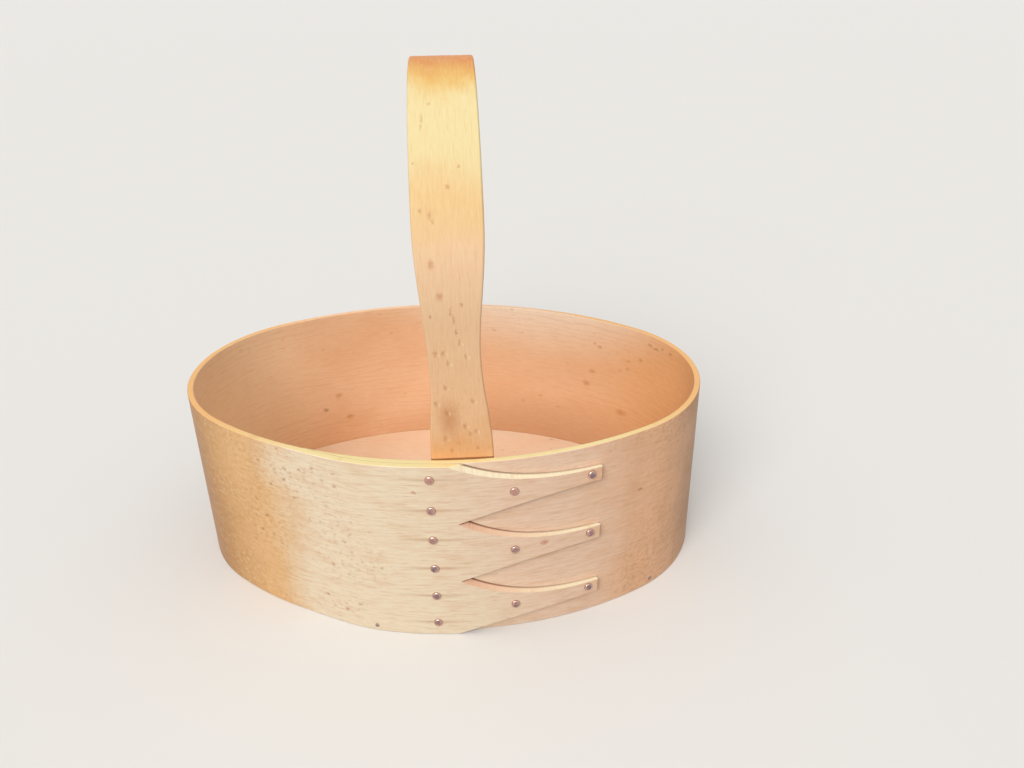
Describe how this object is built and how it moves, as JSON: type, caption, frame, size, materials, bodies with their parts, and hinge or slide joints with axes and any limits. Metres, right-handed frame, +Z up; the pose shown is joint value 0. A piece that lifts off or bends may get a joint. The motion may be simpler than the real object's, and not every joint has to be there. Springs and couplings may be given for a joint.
{
  "type": "oval bentwood carrier",
  "caption": "Oval bentwood box with a lapped, swallowtail-fingered and tacked band, a pegged bottom board and a fixed hoop handle for carrying food or goods.",
  "frame": {"origin": "centre of the oval's underside, on the face that it stands on", "axes": "+X along the oval's length towards the finger tips, -Y towards the lapped front, +Z up"},
  "size_m": [0.292, 0.2076, 0.2735],
  "materials": {
    "band_maple": "oiled maple, satin",
    "board_maple": "planed maple, satin",
    "handle_maple": "oiled maple, satin",
    "copper_tacks": "aged copper, dull",
    "pin_metal": "dark aged metal"
  },
  "bodies": {
    "root": {"side_band": "band_maple", "bottom_board": "board_maple", "handle": "handle_maple", "seam_tacks": "copper_tacks", "finger_middle_tacks": "copper_tacks", "finger_tip_tacks": "copper_tacks", "bottom_pins": "pin_metal", "handle_front_tacks": "copper_tacks", "handle_back_tacks": "copper_tacks"}
  },
  "joints": []
}
